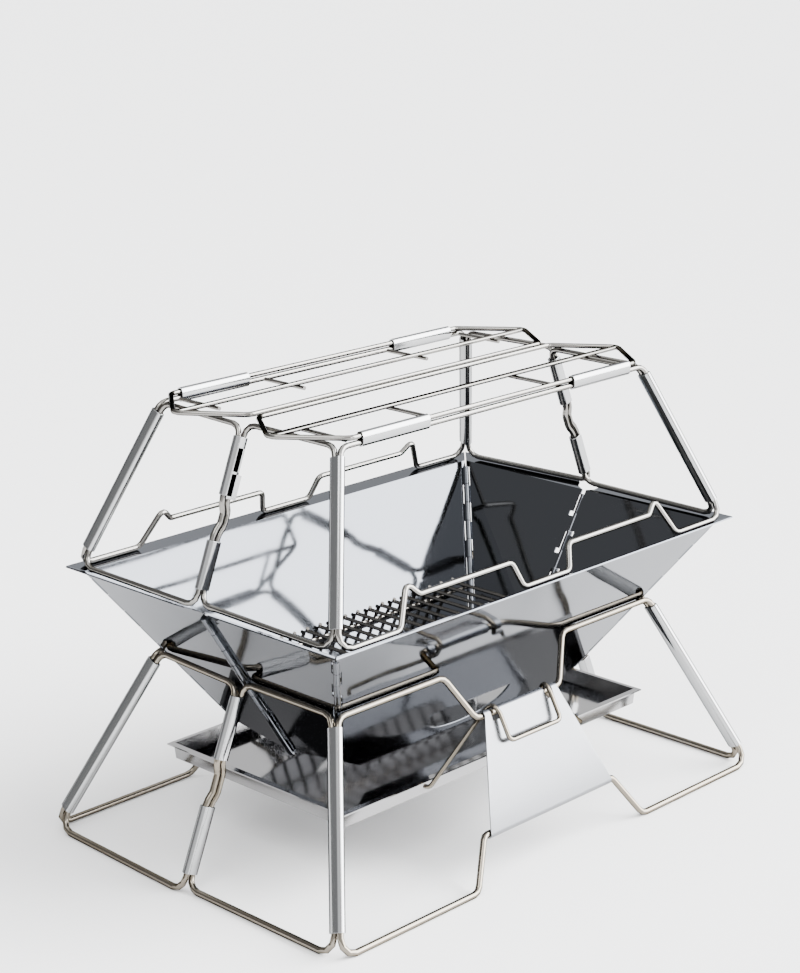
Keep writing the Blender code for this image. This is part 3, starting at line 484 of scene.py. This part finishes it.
def grate_curls():
    """The ends of the grate's bars curl up and back over themselves."""
    low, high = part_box("charcoal_grate")
    bar_z = high[2] - GRATE_WIRE / 2
    curls = 0
    first_x = -GRATE_PITCH * (GRATE_BARS - 1) / 2
    for index in range(GRATE_BARS):
        x = first_x + GRATE_PITCH * index
        for side, reach in ((-1, low[1]), (1, high[1])):
            curve = bpy.data.curves.new(f"grate_curl_{curls}", "CURVE")
            curve.dimensions = "3D"
            curve.bevel_depth = GRATE_WIRE / 2
            curve.bevel_resolution = CURVE_ROUND
            curve.use_fill_caps = True
            spline = curve.splines.new("POLY")
            spline.points.add(CURL_STEPS)
            centre_y = reach - side * (CURL_RADIUS + GRATE_WIRE / 2)
            for step in range(CURL_STEPS + 1):
                angle = -math.pi / 2 + CURL_TURN * step / CURL_STEPS
                y = centre_y + side * CURL_RADIUS * math.cos(angle)
                z = bar_z + CURL_RADIUS * (1 + math.sin(angle))
                spline.points[step].co = (x, y, z, 1.0)
            rider(curve.name, curve, "grate", "grate_wire")
            curls += 1


def plain_material(name, shade, roughness):
    material = bpy.data.materials.new(name)
    material.use_nodes = True
    shader = material.node_tree.nodes["Principled BSDF"]
    shader.inputs["Base Color"].default_value = (*shade, 1.0)
    shader.inputs["Roughness"].default_value = roughness
    return material


def studio_floor():
    mesh = bpy.data.meshes.new("studio_floor")
    mesh.from_pydata([(-FLOOR_REACH, -FLOOR_REACH, 0.0), (FLOOR_REACH, -FLOOR_REACH, 0.0),
                      (FLOOR_REACH, FLOOR_REACH, 0.0), (-FLOOR_REACH, FLOOR_REACH, 0.0)],
                     [], [(0, 1, 2, 3)])
    floor = bpy.data.objects.new("studio_floor", mesh)
    bpy.context.scene.collection.objects.link(floor)
    mesh.materials.append(plain_material("pale_floor", FLOOR_SHADE, FLOOR_ROUGHNESS))


def softbox(name, place, width, height, power):
    light = bpy.data.lights.new(name, "AREA")
    light.shape = "RECTANGLE"
    light.size, light.size_y = width, height
    light.energy = power
    made = bpy.data.objects.new(name, light)
    bpy.context.scene.collection.objects.link(made)
    made.location = place
    made.rotation_mode = "QUATERNION"
    made.rotation_quaternion = (Vector(LIT_POINT) - Vector(place)).to_track_quat("-Z", "Y")


def toward(tree, direction, way, edge):
    """From 0 to 1 as a direction turns towards way, between the two cosines of edge."""
    facing = node(tree, "ShaderNodeVectorMath", operation="DOT_PRODUCT")
    tree.links.new(direction, facing.inputs[0])
    facing.inputs[1].default_value = Vector(way).normalized()
    ease = node(tree, "ShaderNodeMapRange", interpolation_type="SMOOTHSTEP")
    tree.links.new(facing.outputs["Value"], ease.inputs["Value"])
    ease.inputs["From Min"].default_value = edge[0]
    ease.inputs["From Max"].default_value = edge[1]
    return ease.outputs["Result"]


def studio_world():
    """A pale room with a bright window in front to the right and a dark wall behind to the left."""
    world = bpy.data.worlds.new("studio_world")
    bpy.context.scene.world = world
    world.use_nodes = True
    tree = world.node_tree
    direction = node(tree, "ShaderNodeTexCoord").outputs["Generated"]
    window = toward(tree, direction, WINDOW_WAY, WINDOW_EDGE)
    wall = toward(tree, direction, DARK_WALL_WAY, DARK_WALL_EDGE)
    ceiling = toward(tree, direction, CEILING_WAY, CEILING_EDGE)
    level = maths(tree, "MULTIPLY_ADD", wall, -WALL_DEPTH * ROOM_LEVEL, ROOM_LEVEL)
    level = maths(tree, "MULTIPLY_ADD", window, WINDOW_LEVEL, level)
    level = maths(tree, "MULTIPLY_ADD", ceiling, CEILING_LEVEL, level)
    background = tree.nodes["Background"]
    background.inputs["Color"].default_value = ROOM_SHADE
    tree.links.new(level, background.inputs["Strength"])


def studio():
    studio_floor()
    studio_world()
    softbox("key_softbox", (-1.6, -0.6, 2.2), width=1.2, height=1.2, power=30.0)
    softbox("front_strip", (-0.2, -2.3, 1.3), width=0.4, height=1.8, power=22.0)


def make_camera():
    camera = bpy.data.cameras.new("camera")
    camera.lens = CAMERA_LENS
    camera.sensor_width = SENSOR
    camera.sensor_fit = "AUTO"
    camera.clip_start, camera.clip_end = 0.05, 50.0
    made = bpy.data.objects.new("camera", camera)
    bpy.context.scene.collection.objects.link(made)
    forward = CAMERA_FORWARD.normalized()
    right = forward.cross(Vector((0.0, 0.0, 1.0))).normalized()
    up = right.cross(forward)
    rolled_right = right * math.cos(CAMERA_ROLL) + up * math.sin(CAMERA_ROLL)
    rolled_up = rolled_right.cross(forward)
    turn = Matrix((rolled_right, rolled_up, -forward)).transposed()
    made.rotation_mode = "QUATERNION"
    made.rotation_quaternion = turn.to_quaternion()
    made.location = CAMERA_PLACE
    bpy.context.scene.camera = made


finish_cad_nodes()
long_sleeves()
round_knuckles()
latch_cheeks()
vent_rim()
grate_curls()
studio()
make_camera()
